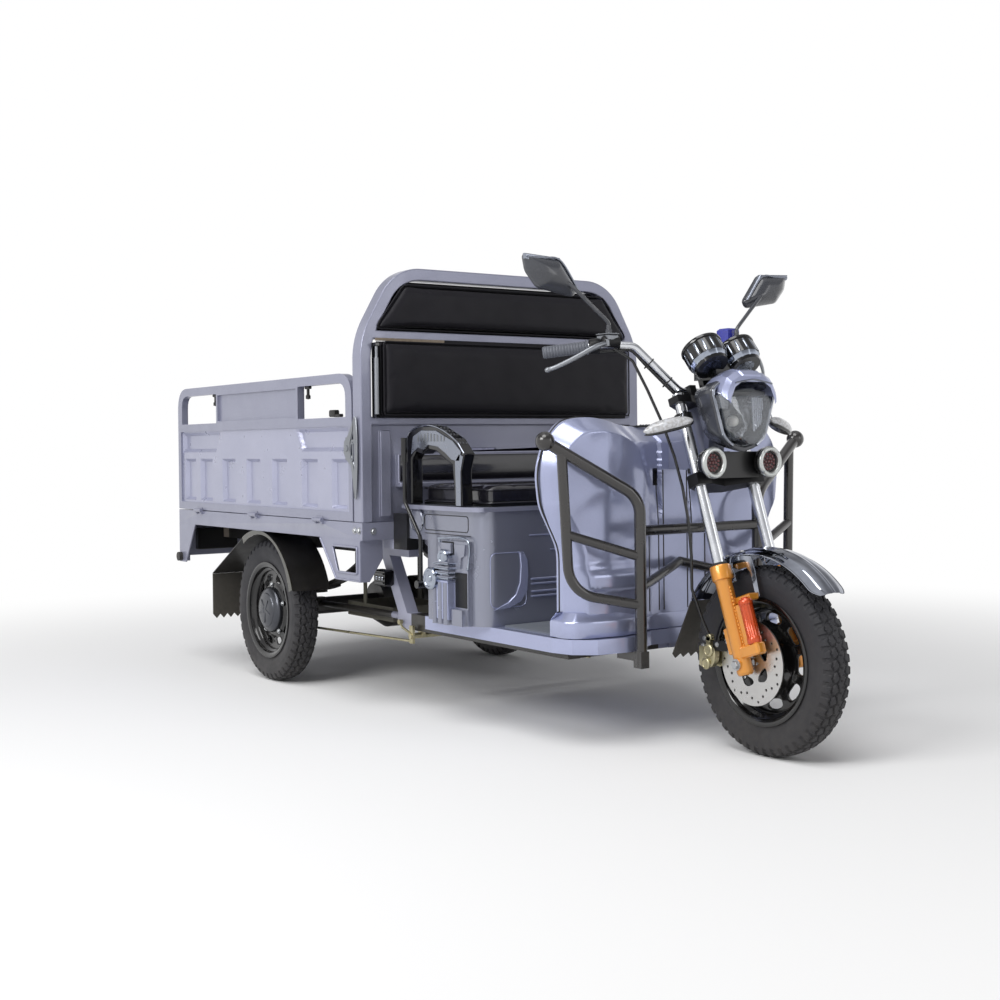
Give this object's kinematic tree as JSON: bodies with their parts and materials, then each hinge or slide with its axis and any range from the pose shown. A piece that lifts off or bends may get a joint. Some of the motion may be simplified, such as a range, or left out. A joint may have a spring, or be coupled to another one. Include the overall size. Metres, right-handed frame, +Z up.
{
  "type": "electric cargo tricycle",
  "caption": "Cargo tricycle with a raked front fork, bench seat, leg shield, tube guard and a drop-side load bed that folds open on hinges.",
  "frame": {"origin": "on the ground under the middle of the machine's length and width", "axes": "+X forward, +Y to the rider's left, +Z up"},
  "size_m": [2.904, 1.13, 1.374],
  "materials": {
    "body_paint": "metallic grey lavender paint",
    "frame_paint": "black chassis paint",
    "shield_plastic": "painted moulded plastic",
    "seat_plastic": "painted moulded plastic",
    "gunmetal": "dark gloss tube",
    "chrome": "bright chrome plate",
    "orange": "orange metallic lacquer",
    "gold": "yellow zinc plate",
    "steel": "ground brake disc",
    "rim": "black gloss pressed steel",
    "tyre": "tyre rubber",
    "rubber": "moulded rubber",
    "leather": "black leathercloth",
    "board": "plywood edge",
    "black_plastic": "textured black plastic",
    "grip": "silver grey grip",
    "clear": "clear polycarbonate",
    "red_lens": "red lens",
    "mat": "ribbed rubber mat",
    "battery": "battery case"
  },
  "bodies": {
    "chassis": {"main_frame": "frame_paint", "cargo_floor": "body_paint", "headboard": "body_paint", "cab_hoop": "body_paint", "backrest_boards": "board", "backrest_upper": "leather", "backrest_lower": "leather", "seat_base": "seat_plastic", "battery_block": "battery", "side_covers": "seat_plastic", "armrests": "chrome", "parking_brake": "frame_paint", "floor_pan": "shield_plastic", "floor_mat": "mat", "leg_shield": "shield_plastic", "bull_bar": "gunmetal", "bed_brackets": "body_paint", "rear_plate": "body_paint", "tail_lamps": "red_lens", "buffers": "rubber", "rear_fenders": "frame_paint", "rear_flaps": "rubber", "rear_axle": "frame_paint", "leaf_springs": "frame_paint", "torque_arms": "frame_paint", "brake_linkage": "gold", "under_tray": "frame_paint"},
    "seat": {"seat_pan": "board", "seat_cushion": "leather"},
    "fork": {"fork_yokes": "black_plastic", "fork_tubes": "chrome", "fork_sliders": "orange", "front_fender": "chrome", "front_flap": "rubber", "brake_caliper": "gold", "headlamp_shell": "black_plastic", "headlamp_lens": "clear", "spot_lamps": "chrome", "lamp_bracket": "frame_paint", "gauges": "chrome", "handlebar": "chrome", "grips": "grip", "hand_controls": "black_plastic", "mirrors": "black_plastic", "turn_signals": "clear", "brake_hose": "rubber"},
    "front_wheel": {"front_tyre": "tyre", "front_rim": "rim", "brake_disc": "steel"},
    "rear_wheel_right": {"rear_tyre_right": "tyre", "rear_rim_right": "rim"},
    "rear_wheel_left": {"rear_tyre_left": "tyre", "rear_rim_left": "rim"},
    "side_right": {"side_panel_right": "body_paint"},
    "side_left": {"side_panel_left": "body_paint"},
    "tail": {"tailgate": "body_paint"}
  },
  "joints": [
    {"name": "steering", "type": "hinge", "parent": "chassis", "child": "fork", "pos_m": [1.16169, 0, 0.248], "axis": [-0.3256, 0, 0.9455], "range_deg": [-30, 30]},
    {"name": "front_wheel_spin", "type": "hinge", "parent": "fork", "child": "front_wheel", "pos_m": [1.204, 0, 0.248], "axis": [0, 1, 0], "continuous": true},
    {"name": "rear_wheel_right_spin", "type": "hinge", "parent": "chassis", "child": "rear_wheel_right", "pos_m": [-0.747, -0.468, 0.248], "axis": [0, 1, 0], "continuous": true},
    {"name": "rear_wheel_left_spin", "type": "hinge", "parent": "chassis", "child": "rear_wheel_left", "pos_m": [-0.747, 0.468, 0.248], "axis": [0, 1, 0], "continuous": true},
    {"name": "side_right_fold", "type": "hinge", "parent": "chassis", "child": "side_right", "pos_m": [-0.747, -0.558, 0.5845], "axis": [1, 0, 0], "range_deg": [0, 175]},
    {"name": "side_left_fold", "type": "hinge", "parent": "chassis", "child": "side_left", "pos_m": [-0.747, 0.558, 0.5845], "axis": [-1, 0, 0], "range_deg": [0, 175]},
    {"name": "tailgate_fold", "type": "hinge", "parent": "chassis", "child": "tail", "pos_m": [-1.445, 0, 0.5845], "axis": [0, -1, 0], "range_deg": [0, 175]},
    {"name": "seat_lift", "type": "hinge", "parent": "chassis", "child": "seat", "pos_m": [0.109, 0, 0.6445], "axis": [0, -1, 0], "range_deg": [0, 65]}
  ]
}
